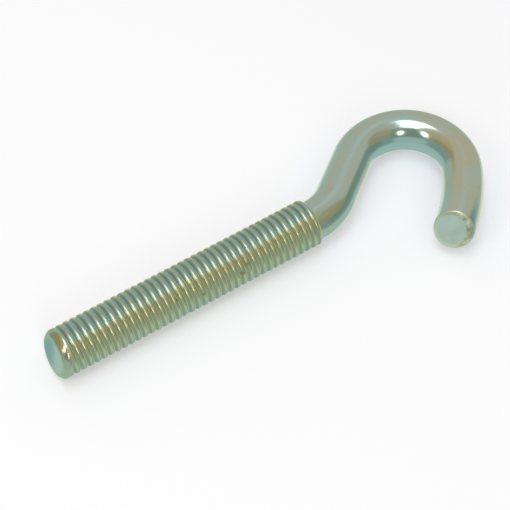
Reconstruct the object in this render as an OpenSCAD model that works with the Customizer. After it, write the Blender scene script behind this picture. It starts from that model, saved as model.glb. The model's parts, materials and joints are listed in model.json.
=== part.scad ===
// Open-type eye bolt: one round rod, threaded along its shank and bent into an eye with an open mouth.
// The bolt lies as it comes to rest, on its thread crests and on the far side of the eye.
// X runs along the shank towards the eye and Z is up. The origin is on the shank axis, at the end of the full thread.

/* [Thread] */
// Outside diameter of the thread, across the crests
thread_d = 10; // [9.4:0.1:12]
// Distance from one crest to the next
thread_pitch = 1.5; // [1.3:0.05:2]
// Length of the thread, from its last full crest at the neck to the farthest point of the tip
thread_length = 58.6; // [30:0.1:120]
// Width of the flat along each crest
crest_flat = 0.19; // [0.1:0.01:0.22]
// Depth of the thread below its crests
thread_depth = 0.8; // [0.5:0.01:0.94]
// Included angle between the two flanks of a thread
flank_angle = 60; // [50:1:61]
// Diameter of the flat face at the tip
tip_face_d = 7.8; // [5:0.1:8]
// Slant of the tip's face, which turns it upwards
tip_slant = 12; // [0:0.5:18]
// Angle of the bevel round the tip's face, measured from that face's axis
tip_bevel_angle = 45; // [35:1:60]
// Length over which the thread runs out at the neck
run_out = 0.9; // [0.4:0.1:1.2]

/* [Rod and neck] */
// Diameter of the plain rod
rod_d = 8.4; // [7:0.1:9.2]
// Straight length between the full thread and the neck bend
neck_length = 1.2; // [1.2:0.1:30]
// Centreline radius of the neck bend
neck_bend_r = 11.8; // [9:0.2:30]
// Angle that the neck turns aside from the shank axis
neck_bend_angle = 37.5; // [25:0.5:50]
// Straight length between the neck bend and the eye
neck_straight = 10.6; // [1:0.1:20]

/* [Eye] */
// Inside diameter of the eye
eye_inner_d = 14.7; // [10:0.1:30]
// Angle of the eye's round part
eye_angle = 159; // [120:1:180]
// Centreline radius of the slack curve along the end leg
leg_bend_r = 40; // [25:1:100]
// Angle that the end leg still turns
leg_bend_angle = 22.5; // [5:0.5:30]
// Slant of the end cut, which turns its face upwards
end_slant = 20; // [0:0.5:30]

/* [Hidden] */
$fn = 72;
steel = [0.66, 0.69, 0.62];
thread_r = thread_d / 2;
rod_r = rod_d / 2;
root_r = thread_r - thread_depth;
flank_width = thread_depth * tan(flank_angle / 2);
tip_face_r = tip_face_d / 2;
// Depth of the tip's bevelling cone, which clears the far end of the shank
bevel_reach = 1.5 * thread_length;
ridge_count = floor((thread_length - crest_flat) / thread_pitch) + 1;
eye_r = eye_inner_d / 2 + rod_r;
// Straight lengths and the leg reach this far into the bends beside them, and are thinner by the step
seat = 0.2;
seat_step = 0.03;
slim_r = rod_r - seat_step;
// Sideways reach of the eye's far side from the shank axis, along the rod's centreline
eye_reach = (neck_bend_r + eye_r) * (1 - cos(neck_bend_angle)) + neck_straight * sin(neck_bend_angle);
// Roll about the shank axis that lets the far side of the eye down to the level of the thread crests
rest_roll = asin((thread_r - rod_r) / eye_reach);
// Leg past its end point, which the slanted cut trims away
end_spare = rod_r * tan(end_slant) + 1;
end_spare_angle = end_spare / leg_bend_r * 180 / PI;
end_cutter = 4 * rod_d;

// One ridge of the half outline, as radius and distance from the neck
function ridge(start) = [
    [root_r, start - flank_width],
    [thread_r, start],
    [thread_r, start + crest_flat],
    [root_r, start + crest_flat + flank_width]
];

// Ridged shank along Z, run out to the plain rod at the neck, with a slanted and bevelled tip
module threaded_shank() {
    neck_end = [[0, -run_out], [rod_r, -run_out], [thread_r, 0], [thread_r, crest_flat]];
    first_root = [[root_r, crest_flat + flank_width]];
    ridges = [for (i = [1 : ridge_count - 1]) each ridge(i * thread_pitch)];
    past_tip = ridge_count * thread_pitch + flank_width;
    tip_end = [[root_r, past_tip], [0, past_tip]];
    bevel_r = tip_face_r + bevel_reach * tan(tip_bevel_angle);
    intersection() {
        rotate_extrude() polygon(concat(neck_end, first_root, ridges, tip_end));
        translate([0, 0, thread_length - tip_face_r * sin(tip_slant)]) rotate([0, tip_slant, 0])
            translate([0, 0, -bevel_reach]) cylinder(r1 = bevel_r, r2 = tip_face_r, h = bevel_reach);
    }
}

// Rod bent to the left in the XY plane, starting at the origin along X
module arc_left(radius, angle, r) {
    translate([0, radius, 0]) rotate([0, 0, -90])
        rotate_extrude(angle = angle) translate([radius, 0]) circle(r = r);
}

// Straight rod along X, let into its neighbours, with what follows it at its far end
module straight(length) {
    translate([-seat, 0, 0]) rotate([0, 90, 0]) cylinder(r = slim_r, h = length + 2 * seat);
    translate([length, 0, 0]) children();
}

// Bend to the left, with what follows it at its far end
module bend_left(radius, angle) {
    arc_left(radius, angle, rod_r);
    translate([radius * sin(angle), radius * (1 - cos(angle)), 0]) rotate([0, 0, angle]) children();
}

// Bend to the right, a bend to the left turned over, with what follows it at its far end
module bend_right(radius, angle) {
    rotate([180, 0, 0]) arc_left(radius, angle, rod_r);
    translate([radius * sin(angle), -radius * (1 - cos(angle)), 0]) rotate([0, 0, -angle]) children();
}

// Slack end leg, let into the eye and cut off at a slant
module end_leg() {
    seat_angle = seat / leg_bend_r * 180 / PI;
    difference() {
        rotate([180, 0, 0]) translate([0, leg_bend_r, 0]) rotate([0, 0, -seat_angle]) translate([0, -leg_bend_r, 0])
            arc_left(leg_bend_r, seat_angle + leg_bend_angle + end_spare_angle, slim_r);
        translate([leg_bend_r * sin(leg_bend_angle), -leg_bend_r * (1 - cos(leg_bend_angle)), 0])
            rotate([0, -end_slant, -leg_bend_angle])
            translate([0, -end_cutter / 2, -end_cutter / 2]) cube(end_cutter);
    }
}

module eye_bolt() {
    color(steel) rotate([-rest_roll, 0, 0]) {
        rotate([0, -90, 0]) threaded_shank();
        translate([run_out, 0, 0])
            straight(neck_length - run_out)
            bend_left(neck_bend_r, neck_bend_angle)
            straight(neck_straight)
            bend_right(eye_r, eye_angle)
            end_leg();
    }
}

eye_bolt();
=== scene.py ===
import json
import math

import bmesh
import bpy
import numpy as np
from mathutils import Matrix, Vector


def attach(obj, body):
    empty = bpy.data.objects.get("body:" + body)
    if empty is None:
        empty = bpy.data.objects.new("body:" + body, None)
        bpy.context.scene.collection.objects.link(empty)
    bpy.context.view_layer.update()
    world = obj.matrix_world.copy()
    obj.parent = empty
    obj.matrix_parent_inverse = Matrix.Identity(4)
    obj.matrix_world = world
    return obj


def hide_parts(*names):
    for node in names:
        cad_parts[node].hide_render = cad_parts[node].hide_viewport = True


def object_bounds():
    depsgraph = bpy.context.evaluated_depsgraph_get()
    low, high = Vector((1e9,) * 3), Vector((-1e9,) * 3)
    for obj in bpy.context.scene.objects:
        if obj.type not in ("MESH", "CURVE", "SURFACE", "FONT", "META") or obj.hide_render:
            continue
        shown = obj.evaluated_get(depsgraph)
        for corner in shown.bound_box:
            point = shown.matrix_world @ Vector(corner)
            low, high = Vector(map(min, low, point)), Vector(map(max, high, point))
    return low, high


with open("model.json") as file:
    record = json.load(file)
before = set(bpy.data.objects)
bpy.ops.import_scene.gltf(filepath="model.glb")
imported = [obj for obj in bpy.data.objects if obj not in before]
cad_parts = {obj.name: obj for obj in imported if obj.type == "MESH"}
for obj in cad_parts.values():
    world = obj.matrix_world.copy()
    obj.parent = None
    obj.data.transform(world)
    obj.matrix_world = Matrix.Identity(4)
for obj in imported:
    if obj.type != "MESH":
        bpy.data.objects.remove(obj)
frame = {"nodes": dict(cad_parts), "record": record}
cadLow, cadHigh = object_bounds()
mm = 0.001
print("frame loaded:", len(frame["nodes"]), "node")

# Eye bolt: lengths in millimetres, angles in degrees. Angles round the rod start at +Y and run over the top.
bolt = {
    "pitch": 1.5,                        # crest to crest
    "threadDepth": 0.53,
    "threadInset": 0.02,                 # keeps the crests inside the source's box
    "crestPower": 2.6,                   # rolled crests are broad and round, and the roots narrow
    "crestAngle": 98.3,                  # where round the shank a crest line meets the thread's end
    "spareTurns": 3,                     # turns of the grid past each end, which are held there
    "land": (1.3, 2.1),                  # the groove deepens over this distance behind the tip's face
    "grooveEnd": (-1.1, 0.45),           # and runs out over this stretch at the neck
    "runOut": 0.9,                       # taper from the last crest down to the rod
    "threadTint": (0.55, 0.9),           # the thread's tints and the grooves' painted shade end over this stretch of the run-out
    "tipTint": (0.6, 1.6),               # and gives way to the bevel's over this distance from the tip's rim
    "grooveClear": (0.1, 0.6),           # a groove gets its painted shade where it lies this far inside the bevel's cone
    "tealTop": (50, 68, 98, 128),        # angles over which the grooves turn teal and the crests pale, and back: partly film colour, partly painted reflection
    "tealUnder": (158, 188, 280, 340),   # and the same along the back and below, more faintly
    "tealUnderShare": 0.45,
    "tipFaceRadius": 4.25,
    "tipSlant": 12,                      # turns the tip's face upwards
    "tipBevel": 45,
    "tipRound": 0.9,                     # rounding between bevel and face
    "tipRows": 7,                        # rows of that rounding
    "tipSoftness": 0.08,                 # rounding between bevel and thread
    "tipDish": 0.1,                      # hollow of the tip's face
    "tipDishEdge": 0.3,                  # share of the radius where the hollow has its full depth
    "tipFlatEdge": 0.86,                 # and where the face has its full tint
    "coneRounds": 6,                     # rounds in which the bevel's radius settles
    "coneLeast": 0.01,                   # least square of that radius, so that it has a root
    "rodRadius": 4.19,
    "neckLength": 1.2,                   # last crest to the neck bend
    "neckBendRadius": 11.8,
    "neckBendAngle": 37.5,
    "neckStraight": 10.6,
    "eyeRadius": 11.55,                  # centreline
    "eyeAngle": 159,
    "legBendRadius": 40,
    "legBendAngle": 22.5,
    "endSlant": 20,                      # turns the end face upwards
    "endRound": 0.3,                     # rounding of the end's rim
    "endRoll": 1.1,                      # further rounding on the side where the shears went in
    "shearAngle": -12,                   # where round the rod that side lies
    "endRows": 9,                        # rows of the rounding
    "endSpan": 1.5,                      # length of leg that these rows take over
    "slantReach": 9.0,                   # length of leg over which the rows lean to the cut
    "tornAngle": 35,                     # middle of the burr, round the rod
    "tornSpread": 0.45,                  # reach of the burr past a half circle, as a cosine
    "lipSpread": 0.4,                    # the same of the pale lip, a painted reflection of the floor, which lies below
    "cutCurl": (0.0, 0.5),               # sines of the rim's quarter circle over which each mask comes in
    "burrCurl": (0.3, 0.9),
    "lipCurl": (0.6, 0.9),
    "burrRing": (0.84, 1.0),             # and shares of the end face's radius
    "lipRing": (0.84, 0.93),
    "columns": 124,
    "rowSpacing": 0.36,
    "pathSteps": 20000,                  # steps in which the bent path is added up
    "weldGap": 0.002,                    # points closer than this become one
    "sliver": 0.0005,                    # edges shorter than this are taken out
}
# Rows across one pitch, as shares of it from the crest: close together where the profile turns
pitchRows = np.array([-0.5, -0.47, -0.43, -0.37, -0.3, -0.22, -0.12, 0.0, 0.12, 0.22, 0.3, 0.37, 0.43, 0.47])
# Rings of the two end faces, as shares of their radius
tipRings = np.array([0.97, 0.93, 0.88, 0.8, 0.5, 0.25, 0.0])[:, None]
endRings = np.array([1.0, 0.97, 0.93, 0.87, 0.8, 0.65, 0.5, 0.25, 0.0])[:, None]
# Masks that the plating reads from the mesh
maskNames = ("thread", "groove", "teal", "bevel", "cutFace", "burr", "lip", "tipFlat", "across")

threadMount = next(m for m in frame["record"]["mounts"] if m["name"] == "thread")
threadRadius = threadMount["dims"]["r_mm"] - bolt["threadInset"]
tipX = cadLow.x / mm
slant = math.radians(bolt["tipSlant"])
tipMiddle = tipX + bolt["tipFaceRadius"] * math.sin(slant)


def softRamp(x, k):
    # k times the log of one plus e to the x over k: zero below, x above, rounded between
    return k * np.logaddexp(0.0, x / k)


def smoothStep(a, b, x):
    # three t squared less two t cubed, with t running from a to b
    t = np.clip((x - a) / (b - a), 0.0, 1.0)
    return t * t * (3.0 - 2.0 * t)


def softMin(a, b, k):
    # the lesser of two lengths, with a rounded change-over of width k
    return a - softRamp(a - b, k)


def columnAngles():
    # equal angles once round the rod
    return np.linspace(0.0, 2.0 * np.pi, bolt["columns"] + 1)[None, :]


def crestTurns(angle):
    # turns of the helix at this angle, counted from the crest line's end
    return (angle - math.radians(bolt["crestAngle"])) / (2.0 * np.pi)


def depthBehindFace(x, radius, angle):
    # distance behind the plane of the tip's face, which the slant turns upwards
    return (x - tipMiddle) * math.cos(slant) - radius * np.sin(angle) * math.sin(slant)


def xAtDepth(depth, radius, angle):
    # the same turned round: x of a point at this distance behind the face's plane
    return tipMiddle + (depth + radius * np.sin(angle) * math.sin(slant)) / math.cos(slant)


def bevelCone(x, angle):
    # radius of the cone round the slanted face: the face's radius plus the depth behind it times the bevel's
    # slope, with the depth found again from each new radius
    slope = math.tan(math.radians(bolt["tipBevel"]))
    radius = bolt["tipFaceRadius"]
    for _ in range(bolt["coneRounds"]):
        depth = depthBehindFace(x, radius, angle)
        wide = bolt["tipFaceRadius"] + slope * depth
        squared = wide * wide + depth * depth - (x - tipMiddle) ** 2
        radius = np.sqrt(np.maximum(squared, bolt["coneLeast"]))
    return radius


def shankRadius(x, angle):
    # the crest radius less a power of the distance to the crest line, less the run-out's taper, kept inside
    # the tip's cone
    lead = x / bolt["pitch"] - crestTurns(angle)
    drop = (2.0 * np.abs(lead - np.round(lead))) ** bolt["crestPower"]
    fade = 1.0 - smoothStep(*bolt["grooveEnd"], x)
    fade = fade * smoothStep(*bolt["land"], depthBehindFace(x, threadRadius, angle))
    taper = (threadRadius - bolt["rodRadius"]) * smoothStep(0.0, bolt["runOut"], x)
    radius = threadRadius - taper - bolt["threadDepth"] * drop * fade
    return softMin(radius, bevelCone(x, angle), bolt["tipSoftness"])


def tipRim(angle):
    # x of the ring where the bevel starts to turn over into the face
    depth = bolt["tipRound"] * (1.0 - math.sin(math.radians(bolt["tipBevel"])))
    return xAtDepth(depth, bolt["tipFaceRadius"] + depth, angle)


def arcMask(turned, edges):
    # climbs from nought to one between the first two angles and falls back between the last two
    return smoothStep(*edges[:2], turned) * (1.0 - smoothStep(*edges[2:], turned))


def threadSurface():
    # x climbs one pitch a turn and is held between the tip's rim and the run-out, at the shank's radius
    angle = columnAngles()
    rim = tipRim(angle)
    turns = np.arange(int(tipX / bolt["pitch"]) - bolt["spareTurns"], bolt["spareTurns"] + 1)
    row = (turns[:, None] + pitchRows[None, :]).reshape(-1, 1)
    climb = bolt["pitch"] * (row + crestTurns(angle))
    x = np.clip(climb, rim, bolt["runOut"])
    radius = shankRadius(x, angle)
    points = np.stack([x, radius * np.cos(angle), radius * np.sin(angle)], -1)
    held = np.where(climb <= rim, 1, 0) + np.where(climb >= bolt["runOut"], 2, 0)

    shown = 1.0 - smoothStep(*bolt["threadTint"], x)
    pastTip = smoothStep(*bolt["tipTint"], x - rim)
    # groove: depth below the crest, by which the plating darkens the grooves and the run-out's corner as
    # painted shade
    groove = np.clip((threadRadius - radius) / bolt["threadDepth"], 0.0, 1.0) * shown
    groove *= smoothStep(*bolt["grooveClear"], bevelCone(x, angle) - radius)
    # teal: where round the shank the grooves turn teal and the crests pale, partly film colour and partly
    # painted reflection
    turned = np.degrees(angle)
    teal = arcMask(turned, bolt["tealTop"]) + bolt["tealUnderShare"] * arcMask(turned, bolt["tealUnder"])
    return points, held, {"thread": shown * pastTip, "groove": groove, "teal": teal, "bevel": 1.0 - pastTip}


def tipFace():
    # from the bevel's rim the profile turns over by an arc into the slanted face, and rings shrink to its
    # middle, which is hollow
    angle = columnAngles()
    rimX = tipRim(angle)
    rimRadius = shankRadius(rimX, angle)
    bevel = math.radians(bolt["tipBevel"])
    arc = np.linspace(bevel, math.pi / 2, bolt["tipRows"])[:, None]
    inner = rimRadius - bolt["tipRound"] * math.cos(bevel)
    arcRadius = inner + (rimRadius - inner) * np.cos(arc) / math.cos(bevel)
    arcDepth = depthBehindFace(rimX, rimRadius, angle) * (1.0 - np.sin(arc)) / (1.0 - math.sin(bevel))
    radius = np.concatenate([arcRadius, inner * tipRings])
    hollow = bolt["tipDish"] * smoothStep(1.0, bolt["tipDishEdge"], tipRings) + 0 * angle
    x = xAtDepth(np.concatenate([arcDepth, hollow]), radius, angle)
    points = np.stack([x, radius * np.cos(angle), radius * np.sin(angle)], -1)

    # across: share across the face, along which the plating paints a reflection from blue to pale
    across = 0.5 - radius * np.cos(angle) / (2 * bolt["tipFaceRadius"])
    flat = np.concatenate([0 * arcRadius, smoothStep(1.0, bolt["tipFlatEdge"], tipRings) + 0 * angle])
    return points[::-1], None, {"tipFlat": flat[::-1], "bevel": 1.0, "across": across[::-1]}


def pathMarks():
    # lengths and turns of the rod's stretches, added up from the end of the run-out
    turns = np.radians([0.0, bolt["neckBendAngle"], 0.0, -bolt["eyeAngle"], -bolt["legBendAngle"]])
    lengths = [
        bolt["neckLength"] - bolt["runOut"],
        bolt["neckBendRadius"] * abs(turns[1]),
        bolt["neckStraight"],
        bolt["eyeRadius"] * abs(turns[3]),
        bolt["legBendRadius"] * abs(turns[4]),
    ]
    return np.concatenate([[0.0], np.cumsum(lengths)]), np.concatenate([[0.0], np.cumsum(turns)])


def bentPath(s):
    # heading is the running sum of each stretch's turn, position the running sum of steps along the heading
    marks, headings = pathMarks()
    fine = np.linspace(0.0, marks[-1], bolt["pathSteps"] + 1)
    heading = np.interp(fine, marks, headings)
    middle = (heading[1:] + heading[:-1]) / 2
    strides = np.diff(fine)
    x = bolt["runOut"] + np.concatenate([[0.0], np.cumsum(np.cos(middle) * strides)])
    y = np.concatenate([[0.0], np.cumsum(np.sin(middle) * strides)])
    return [np.interp(s, fine, values)[:, None] for values in (x, y, heading)]


def carryRings(s, radius, angle, ahead, lean):
    # rings across the bent path at lengths s, moved ahead along it and leaning back by their height times the
    # cut's slope
    x, y, heading = bentPath(s)
    side, up = radius * np.cos(angle), radius * np.sin(angle)
    along = ahead - lean * up * math.tan(math.radians(bolt["endSlant"]))
    return np.stack([
        x - side * np.sin(heading) + along * np.cos(heading),
        y + side * np.cos(heading) + along * np.sin(heading),
        up,
    ], -1)


def endRounding(angle):
    # a small rounding all round, and more of it where the shears went in, by the squared half cosine
    facing = 0.5 + 0.5 * np.cos(angle - math.radians(bolt["shearAngle"]))
    return bolt["endRound"] + bolt["endRoll"] * facing ** 2


def tornSide(angle):
    # the cosine of the angle from the burr's middle, plus its spread, held between nought and one
    return np.clip(np.cos(angle - math.radians(bolt["tornAngle"])) + bolt["tornSpread"], 0.0, 1.0)


def lipSide(angle):
    # the lip's spread less the sine of the angle, held in the same way, so that the lip's painted reflection
    # lies below
    return np.clip(bolt["lipSpread"] - np.sin(angle), 0.0, 1.0)


def rodSurface():
    # a circle carried along the bent path; towards the end the rows lean over to the slanted cut, and the
    # last rows follow a quarter circle in to the end's rim
    angle = columnAngles()
    length = pathMarks()[0][-1]
    count = int(length / bolt["rowSpacing"])
    body = np.linspace(0.0, length, count)[:int(count - bolt["endSpan"] / bolt["rowSpacing"])]
    curl = np.radians(np.linspace(0.0, 90.0, bolt["endRows"]))[:, None]
    turnIn = endRounding(angle)
    plain = np.zeros((len(body), angle.size))
    s = np.concatenate([body, np.full(len(curl), length)])
    inset = np.concatenate([plain, turnIn * (1.0 - np.cos(curl))])
    ahead = np.concatenate([plain, turnIn * (np.sin(curl) - 1.0)])
    lean = smoothStep(length - bolt["slantReach"], length, s)[:, None]
    points = carryRings(s, bolt["rodRadius"] - inset, angle, ahead, lean)

    burr = smoothStep(*bolt["burrCurl"], np.sin(curl)) * tornSide(angle)
    cut = smoothStep(*bolt["cutCurl"], np.sin(curl)) + 0 * angle
    # the pale lip below the rim is a painted reflection of the floor
    lip = smoothStep(*bolt["lipCurl"], np.sin(curl)) * lipSide(angle)
    marks = {"burr": burr, "cutFace": cut, "lip": lip}
    return points, None, {name: np.concatenate([plain, mask]) for name, mask in marks.items()}


def endFace():
    # rings shrinking from the end's rim to the middle, in the plane of the slanted cut
    angle = columnAngles()
    s = np.full(len(endRings), pathMarks()[0][-1])
    points = carryRings(s, (bolt["rodRadius"] - endRounding(angle)) * endRings, angle, 0.0, 1.0)
    burr = smoothStep(*bolt["burrRing"], endRings) * tornSide(angle)
    # the pale lip on the face's lower edge is a painted reflection of the floor
    lip = smoothStep(*bolt["lipRing"], endRings) * lipSide(angle)
    return points, None, {"cutFace": 1.0, "burr": burr, "lip": lip}


def gridQuads(rows, columns, first):
    # each quad joins a row to the next and a column to the next, seen from outside
    index = first + np.arange(rows * columns).reshape(rows, columns)
    return np.stack([index[:-1, :-1], index[:-1, 1:], index[1:, 1:], index[1:, :-1]], -1).reshape(-1, 4)


def restRoll():
    # the eye's far side sinks until the thinner rod touches the ground that the crests lie on
    bend = math.radians(bolt["neckBendAngle"])
    reach = (bolt["neckBendRadius"] + bolt["eyeRadius"]) * (1 - math.cos(bend))
    reach += bolt["neckStraight"] * math.sin(bend)
    return -math.asin((threadRadius - bolt["rodRadius"]) / reach)


def makeBolt():
    # the four grids joined into one closed skin and rolled to where the bolt rests
    points, quads = [], []
    masks = {name: [] for name in maskNames}
    first = 0
    for grid, held, marks in (tipFace(), threadSurface(), rodSurface(), endFace()):
        rows, columns = grid.shape[:2]
        faces = gridQuads(rows, columns, first)
        if held is not None:                   # rows held at an end have no width there
            ends = held.reshape(-1)[faces - first]
            faces = faces[(ends.min(1) == 0) | (ends.min(1) != ends.max(1))]
        quads.append(faces)
        points.append(grid.reshape(-1, 3))
        for name, lists in masks.items():
            lists.append(np.broadcast_to(marks.get(name, 0.0), (rows, columns)).reshape(-1))
        first += rows * columns
    points, quads = np.concatenate(points), np.concatenate(quads)
    roll = restRoll()
    y = points[:, 1] * math.cos(roll) - points[:, 2] * math.sin(roll)
    z = points[:, 1] * math.sin(roll) + points[:, 2] * math.cos(roll)
    points = np.stack([points[:, 0], y, z], -1) * mm

    mesh = bpy.data.meshes.new("eyeBolt")
    mesh.from_pydata(points, [], quads)
    for name, values in masks.items():
        layer = mesh.attributes.new(name, "FLOAT", "POINT")
        layer.data.foreach_set("value", np.concatenate(values).astype(np.float32))
    skin = bmesh.new()
    skin.from_mesh(mesh)
    bmesh.ops.remove_doubles(skin, verts=skin.verts, dist=bolt["weldGap"] * mm)
    bmesh.ops.dissolve_degenerate(skin, edges=skin.edges, dist=bolt["sliver"] * mm)
    skin.to_mesh(mesh)
    openEdges = sum(1 for e in skin.edges if not e.is_manifold)
    skin.free()
    mesh.polygons.foreach_set("use_smooth", np.ones(len(mesh.polygons), bool))
    mesh.update()
    piece = bpy.data.objects.new("eyeBolt", mesh)
    bpy.context.scene.collection.objects.link(piece)
    piece.visible_glossy = False               # the metal mirrors the studio, not itself
    triangles = sum(len(p.vertices) - 2 for p in mesh.polygons)
    print("bolt:", triangles, "triangles,", openEdges, "open edges")
    return piece


def addNode(tree, kind, **values):
    node = tree.nodes.new(kind)
    for name, value in values.items():
        setattr(node, name, value)
    return node


def fill(socket, tree, value):
    # a link where the value is another node's socket, and a plain setting where it isn't
    if isinstance(value, bpy.types.NodeSocket):
        tree.links.new(value, socket)
    else:
        socket.default_value = value


def mathNode(tree, operation, a, b=0.0, c=0.0):
    node = addNode(tree, "ShaderNodeMath", operation=operation)
    for socket, value in zip(node.inputs, (a, b, c)):
        fill(socket, tree, value)
    return node.outputs[0]


def mixColour(tree, share, a, b):
    node = addNode(tree, "ShaderNodeMix", data_type="RGBA")
    fill(node.inputs["Factor"], tree, share)
    fill(node.inputs[6], tree, a)
    fill(node.inputs[7], tree, b)
    return node.outputs[2]


def step(tree, value, low, high):
    # a smooth climb from nought at low to one at high, or a fall where low is the greater
    node = addNode(tree, "ShaderNodeMapRange", interpolation_type="SMOOTHSTEP")
    fill(node.inputs["Value"], tree, value)
    node.inputs["From Min"].default_value = low
    node.inputs["From Max"].default_value = high
    return node.outputs[0]


def band(tree, value, low, high, soft):
    # one between low and high, falling off over soft on each side
    up = step(tree, value, low - soft, low + soft)
    down = step(tree, value, high + soft, high - soft)
    return mathNode(tree, "MULTIPLY", up, down)


# Zinc plating: reflectances in linear colour, places in millimetres
plating = {
    "zinc": (0.53, 0.66, 0.60, 1),
    "blueZinc": (0.50, 0.66, 0.62, 1),
    "straw": (0.62, 0.61, 0.44, 1),
    "crestGold": (0.74, 0.70, 0.46, 1),
    # pale crests and teal grooves along the top are partly film colour, partly painted reflection
    "crestPale": (0.53, 0.56, 0.45, 1),
    # the grooves' tints are darker than the crests' as painted shade in the grooves
    "grooveTealShade": (0.28, 0.50, 0.47, 1),
    "grooveStrawShade": (0.40, 0.46, 0.27, 1),
    "bevelTan": (0.57, 0.60, 0.43, 1),
    "cutMetal": (0.74, 0.84, 0.75, 1),
    # the tip's face runs from blue to pale as a painted reflection
    "tipReflectionBlue": (0.36, 0.50, 0.48, 1),
    "tipReflectionPale": (0.64, 0.71, 0.58, 1),
    "brown": (0.34, 0.30, 0.13, 1),
    "burrTan": (0.46, 0.40, 0.21, 1),
    # the lip's pale colour is a painted reflection of the floor
    "lip": (0.92, 0.92, 0.70, 1),
    "tan": (0.55, 0.58, 0.41, 1),
    "edgeTint": (0.80, 0.95, 0.92, 1),
    "roughness": 0.17,
    "threadRoughness": 0.32,
    "cutRoughness": 0.46,
    "dirtRoughness": 0.25,                     # added to the rest
    "burrRoughness": 0.2,
    "rippleStrength": 0.1,
    "rippleDepth": 0.04,
    "threadCalm": 0.9,                         # share of the ripple that the thread goes without
    "tealDrift": 0.8,                          # width over which noise shifts the edge of the teal
    "noises": {                                # scale and detail of each noise
        "clouds": (90.0, 3.0), "drift": (160.0, 2.0), "mottle": (380.0, 4.0), "tear": (500.0, 2.0),
        "burr": (600.0, 2.0), "ripple": (700.0, 3.0), "specks": (1500.0, 1.0),
    },
    "climbs": {                                # where each mask climbs from nought to one
        "zinc": (0.35, 0.6), "straw": (0.52, 0.72), "teal": (0.2, 0.8), "groove": (0.0, 0.14),
        "across": (0.3, 0.65), "mottle": (0.35, 0.7), "burr": (0.35, 0.6), "specks": (0.74, 0.8),
        "tear": (0.1, 0.5), "spot": (0.0, 0.9),
    },
    "shares": {                                # how much of each mask comes through
        "straw": 0.7, "mottle": 0.45, "spot": 0.9, "tanMarks": 0.6, "burr": 0.75, "specks": 0.4,
    },
    "stains": [                                # middle and radius of each dark stain in the thread
        ((-16.5, -3.4, 3.3), 0.9), ((-18.0, -4.28, 2.18), 0.8),
        ((-26.9, -4.35, 2.03), 0.6), ((-32.4, -3.45, 3.33), 0.6),
    ],
    "tanMarks": [                              # and of each pale tan mark on the neck
        ((6.76, 3.16, 3.82), 0.9), ((6.69, 2.3, 4.03), 0.9),
        ((5.42, 2.05, 4.01), 0.9), ((2.59, 1.55, 3.99), 0.6),
    ],
}


def attribute(tree, name):
    return addNode(tree, "ShaderNodeAttribute", attribute_name=name).outputs["Fac"]


def noise(tree, place, name):
    node = addNode(tree, "ShaderNodeTexNoise")
    tree.links.new(place, node.inputs["Vector"])
    node.inputs["Scale"].default_value, node.inputs["Detail"].default_value = plating["noises"][name]
    return node.outputs["Fac"]


def climbOf(tree, value, name):
    return step(tree, value, *plating["climbs"][name])


def partOf(tree, value, name):
    return mathNode(tree, "MULTIPLY", value, plating["shares"][name])


def spotMask(tree, place, spots):
    # for each spot one less the distance from its middle over its radius, the largest kept, torn by noise
    mask = 0.0
    for middle, radius in spots:
        away = addNode(tree, "ShaderNodeVectorMath", operation="DISTANCE")
        tree.links.new(place, away.inputs[0])
        away.inputs[1].default_value = [v * mm for v in middle]
        share = mathNode(tree, "MULTIPLY_ADD", away.outputs["Value"], -1 / (radius * mm), 1.0)
        mask = mathNode(tree, "MAXIMUM", share, mask)
    torn = mathNode(tree, "MULTIPLY", mask, climbOf(tree, noise(tree, place, "tear"), "tear"))
    return partOf(tree, climbOf(tree, torn, "spot"), "spot")


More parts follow.
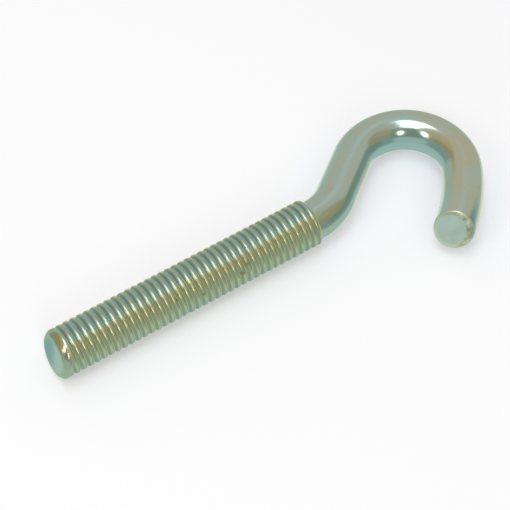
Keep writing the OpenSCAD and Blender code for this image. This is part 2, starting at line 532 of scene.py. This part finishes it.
def makePlating():
    material = bpy.data.materials.new("platedSteel")
    material.use_nodes = True
    tree = material.node_tree
    shader = tree.nodes["Principled BSDF"]
    place = addNode(tree, "ShaderNodeTexCoord").outputs["Object"]
    clouds = noise(tree, place, "clouds")
    colour = mixColour(tree, climbOf(tree, clouds, "zinc"), plating["blueZinc"], plating["zinc"])
    colour = mixColour(tree, partOf(tree, climbOf(tree, clouds, "straw"), "straw"), colour, plating["straw"])

    # the thread has gold crests, and grooves darkened as painted shade, teal along the top and straw in the
    # rest of them
    # along the top the teal grooves and pale crests are partly film colour, partly painted reflection
    swing = plating["tealDrift"]
    drift = mathNode(tree, "MULTIPLY_ADD", noise(tree, place, "drift"), swing, -swing / 2)
    teal = climbOf(tree, mathNode(tree, "ADD", attribute(tree, "teal"), drift), "teal")
    grooveShade = mixColour(tree, teal, plating["grooveStrawShade"], plating["grooveTealShade"])
    crests = mixColour(tree, teal, plating["crestGold"], plating["crestPale"])
    thread = mixColour(tree, climbOf(tree, attribute(tree, "groove"), "groove"), crests, grooveShade)
    onThread = attribute(tree, "thread")
    colour = mixColour(tree, onThread, colour, thread)

    # the bevel is tan, and the tip's face runs from blue to pale across it as a painted reflection
    colour = mixColour(tree, attribute(tree, "bevel"), colour, plating["bevelTan"])
    across = climbOf(tree, attribute(tree, "across"), "across")
    tipPaintedReflection = mixColour(tree, across, plating["tipReflectionBlue"], plating["tipReflectionPale"])
    colour = mixColour(tree, attribute(tree, "tipFlat"), colour, tipPaintedReflection)

    # the sheared end is matt and mottled, with a pale lip below that is a painted reflection of the floor
    cut = attribute(tree, "cutFace")
    mottle = partOf(tree, climbOf(tree, noise(tree, place, "mottle"), "mottle"), "mottle")
    colour = mixColour(tree, cut, colour, mixColour(tree, mottle, plating["cutMetal"], plating["straw"]))
    colour = mixColour(tree, attribute(tree, "lip"), colour, plating["lip"])

    # tan marks on the neck, brown along the end's torn rim, and dark stains and specks
    marks = partOf(tree, spotMask(tree, place, plating["tanMarks"]), "tanMarks")
    colour = mixColour(tree, marks, colour, plating["tan"])
    burr = attribute(tree, "burr")
    torn = mathNode(tree, "MULTIPLY", burr, climbOf(tree, noise(tree, place, "burr"), "burr"))
    colour = mixColour(tree, partOf(tree, torn, "burr"), colour, plating["burrTan"])
    specks = partOf(tree, climbOf(tree, noise(tree, place, "specks"), "specks"), "specks")
    dirt = mathNode(tree, "MAXIMUM", spotMask(tree, place, plating["stains"]), specks)
    colour = mixColour(tree, dirt, colour, plating["brown"])

    polish = plating["roughness"]
    rough = mathNode(tree, "MULTIPLY_ADD", onThread, plating["threadRoughness"] - polish, polish)
    rough = mathNode(tree, "MULTIPLY_ADD", cut, plating["cutRoughness"] - polish, rough)
    rough = mathNode(tree, "MULTIPLY_ADD", dirt, plating["dirtRoughness"], rough)
    rough = mathNode(tree, "MULTIPLY_ADD", burr, plating["burrRoughness"], rough)
    ripple = addNode(tree, "ShaderNodeBump")
    ripple.inputs["Strength"].default_value = plating["rippleStrength"]
    ripple.inputs["Distance"].default_value = plating["rippleDepth"] * mm
    calm = mathNode(tree, "MULTIPLY_ADD", onThread, -plating["threadCalm"], 1.0)
    height = mathNode(tree, "MULTIPLY", noise(tree, place, "ripple"), calm)
    tree.links.new(height, ripple.inputs["Height"])

    tree.links.new(colour, shader.inputs["Base Color"])
    tree.links.new(rough, shader.inputs["Roughness"])
    tree.links.new(ripple.outputs["Normal"], shader.inputs["Normal"])
    shader.inputs["Metallic"].default_value = 1.0
    shader.inputs["Specular Tint"].default_value = plating["edgeTint"]
    return material


# Studio and camera: azimuths are measured at the bolt from the camera's side, positive to the camera's right
studio = {
    "aim": (-13.02, -0.9, 0.0),       # point on the middle of the picture, millimetres
    "heading": 58.0,                  # direction the camera looks along, from +X
    "elevation": 57.4,
    "distance": 317.3,
    "lens": 112.94,
    "sensor": 36,
    "clip": (0.01, 10),               # metres
    "background": 0.985,
    "farSide": (0.63, 0.57, 0.50, 1),
    "zones": [                        # azimuth from and to, elevation from and to, softness, colour
        (140, 196, 48, 84, 9, (0.66, 0.65, 0.62, 1)),          # upper far side
        (-150, 116, -100, 6, 5, (0.56, 0.67, 0.67, 1)),        # ground in front
        (-128, 112, -18, 22, 6, (0.32, 0.41, 0.41, 1)),        # dim edge of the table
        (62, 112, -6, 20, 6, (0.27, 0.34, 0.29, 1)),
        (-145, -126, -28, 13, 5, (0.49, 0.59, 0.56, 1)),
        (-54, 30, -24, 14, 12, (0.52, 0.61, 0.61, 1)),
        (116, 190, -64, -26, 5, (1.10, 0.92, 0.80, 1)),        # bright ground behind
        (-190, -140, -70, -26, 5, (1.10, 0.95, 0.86, 1)),
        (-137, -58, 18, 40, 5, (0.47, 0.36, 0.20, 1)),         # walls
        (-137, -58, 36, 62, 5, (0.62, 0.48, 0.31, 1)),
        (30, 100, 18, 42, 5, (0.47, 0.38, 0.22, 1)),
        (30, 103, 39, 62, 5, (0.53, 0.42, 0.28, 1)),
        (-42, 36, 12, 60, 5, (0.29, 0.33, 0.25, 1)),           # dark gap between the lamps
        (40, 165, 62, 100, 5, (0.58, 0.52, 0.43, 1)),          # ceiling beside the softbox
    ],
    "floorReach": 3.0,                # from the middle to each side, metres
    "floorColour": (0.80, 0.88, 0.96, 1),
    "floorLift": (0.318, 0.290, 0.315, 1),   # what the camera sees besides, so that the ground is white
}


def sideAxes():
    # level unit vectors towards the camera and to its right
    heading = math.radians(studio["heading"])
    ahead = Vector((math.cos(heading), math.sin(heading), 0))
    return -ahead, Vector((ahead.y, -ahead.x, 0))


def direction(azimuth, elevation):
    # unit vector from the bolt to that place in the studio
    back, right = sideAxes()
    a, e = math.radians(azimuth), math.radians(elevation)
    return (back * math.cos(a) + right * math.sin(a)) * math.cos(e) + Vector((0, 0, math.sin(e)))


def makeWorld():
    # the metal sees the zones laid over each other in order, and the camera a plain pale ground
    world = bpy.data.worlds.new("studio")
    world.use_nodes = True
    bpy.context.scene.world = world
    tree = world.node_tree
    sky = tree.nodes["Background"]
    place = addNode(tree, "ShaderNodeTexCoord").outputs["Generated"]
    back, right = sideAxes()
    parts = []
    for axis in (right, back, Vector((0, 0, 1))):
        dot = addNode(tree, "ShaderNodeVectorMath", operation="DOT_PRODUCT")
        tree.links.new(place, dot.inputs[0])
        dot.inputs[1].default_value = axis
        parts.append(dot.outputs["Value"])
    degree = 180 / math.pi
    azimuth = mathNode(tree, "MULTIPLY", mathNode(tree, "ARCTAN2", parts[0], parts[1]), degree)
    elevation = mathNode(tree, "MULTIPLY", mathNode(tree, "ARCSINE", parts[2]), degree)
    colour = studio["farSide"]
    for left, rightEnd, low, high, soft, tint in studio["zones"]:
        across = band(tree, azimuth, left, rightEnd, soft)
        upright = band(tree, elevation, low, high, soft)
        colour = mixColour(tree, mathNode(tree, "MULTIPLY", across, upright), colour, tint)
    seen = addNode(tree, "ShaderNodeLightPath").outputs["Is Camera Ray"]
    colour = mixColour(tree, seen, colour, (studio["background"],) * 3 + (1,))
    tree.links.new(colour, sky.inputs["Color"])


def makeFloor():
    reach, z = studio["floorReach"], cadLow.z
    corners = [(-reach, -reach, z), (reach, -reach, z), (reach, reach, z), (-reach, reach, z)]
    mesh = bpy.data.meshes.new("floor")
    mesh.from_pydata(corners, [], [(0, 1, 2, 3)])
    floor = bpy.data.objects.new("floor", mesh)
    bpy.context.scene.collection.objects.link(floor)
    material = bpy.data.materials.new("paleFloor")
    material.use_nodes = True
    tree = material.node_tree
    tree.nodes.remove(tree.nodes["Principled BSDF"])
    out = tree.nodes["Material Output"]
    path = addNode(tree, "ShaderNodeLightPath")
    plain = addNode(tree, "ShaderNodeBsdfDiffuse")
    plain.inputs["Color"].default_value = studio["floorColour"]
    lift = addNode(tree, "ShaderNodeEmission")
    lift.inputs["Color"].default_value = studio["floorLift"]
    tree.links.new(path.outputs["Is Camera Ray"], lift.inputs["Strength"])
    seen = addNode(tree, "ShaderNodeAddShader")
    tree.links.new(plain.outputs[0], seen.inputs[0])
    tree.links.new(lift.outputs[0], seen.inputs[1])
    mix = addNode(tree, "ShaderNodeMixShader")         # the metal sees the studio's own ground instead
    tree.links.new(path.outputs["Is Glossy Ray"], mix.inputs[0])
    tree.links.new(seen.outputs[0], mix.inputs[1])
    tree.links.new(addNode(tree, "ShaderNodeBsdfTransparent").outputs[0], mix.inputs[2])
    tree.links.new(mix.outputs[0], out.inputs["Surface"])
    mesh.materials.append(material)


# Lamps: place to the camera's right, towards it and up, or else by azimuth and elevation in degrees and by
# distance; lengths in metres, power in watts
lamps = {
    "softbox": {
        "place": (-0.06, 0.03, 0.7), "size": (0.29, 0.525), "power": 1.1, "colour": (0.92, 0.98, 1.08),
    },
    "leftLamp": {
        "azimuth": -50, "elevation": 41, "distance": 0.6,
        "size": (0.12, 0.26), "power": 0.3, "colour": (1, 0.94, 0.8),
    },
    "rightLamp": {
        "azimuth": 15, "elevation": 36, "distance": 0.6,
        "size": (0.12, 0.26), "power": 0.3, "colour": (1, 0.94, 0.8),
    },
}


def makeLamps():
    back, right = sideAxes()
    up = Vector((0, 0, 1))
    for name, lamp in lamps.items():
        data = bpy.data.lights.new(name, "AREA")
        data.shape = "RECTANGLE" if "place" in lamp else "ELLIPSE"
        data.size, data.size_y = lamp["size"]
        data.energy = lamp["power"]
        data.color = lamp["colour"]
        holder = bpy.data.objects.new(name, data)
        bpy.context.scene.collection.objects.link(holder)
        holder.rotation_mode = "QUATERNION"
        if "place" in lamp:                     # level, squared up with the camera
            across, towards, height = lamp["place"]
            holder.location = right * across + back * towards + up * height
            holder.rotation_quaternion = Matrix((right, -back, up)).transposed().to_quaternion()
        else:
            aim = direction(lamp["azimuth"], lamp["elevation"])
            holder.location = aim * lamp["distance"]
            holder.rotation_quaternion = (-aim).to_track_quat("-Z", "Y")


def makeCamera():
    data = bpy.data.cameras.new("camera")
    data.sensor_width = studio["sensor"]
    data.lens = studio["lens"]
    data.clip_start, data.clip_end = studio["clip"]
    camera = bpy.data.objects.new("camera", data)
    bpy.context.scene.collection.objects.link(camera)
    towards = direction(0, studio["elevation"])
    camera.location = Vector(studio["aim"]) * mm + towards * studio["distance"] * mm
    camera.rotation_mode = "QUATERNION"
    camera.rotation_quaternion = (-towards).to_track_quat("-Z", "Y")
    bpy.context.scene.camera = camera


bpy.context.scene.view_settings.view_transform = "Standard"
eyeBolt = makeBolt()
eyeBolt.data.materials.append(makePlating())
print("plating made")
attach(eyeBolt, "root")
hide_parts("eye_bolt")
makeFloor()
makeWorld()
makeLamps()
makeCamera()
print("studio: floor, world, lamps and camera placed")
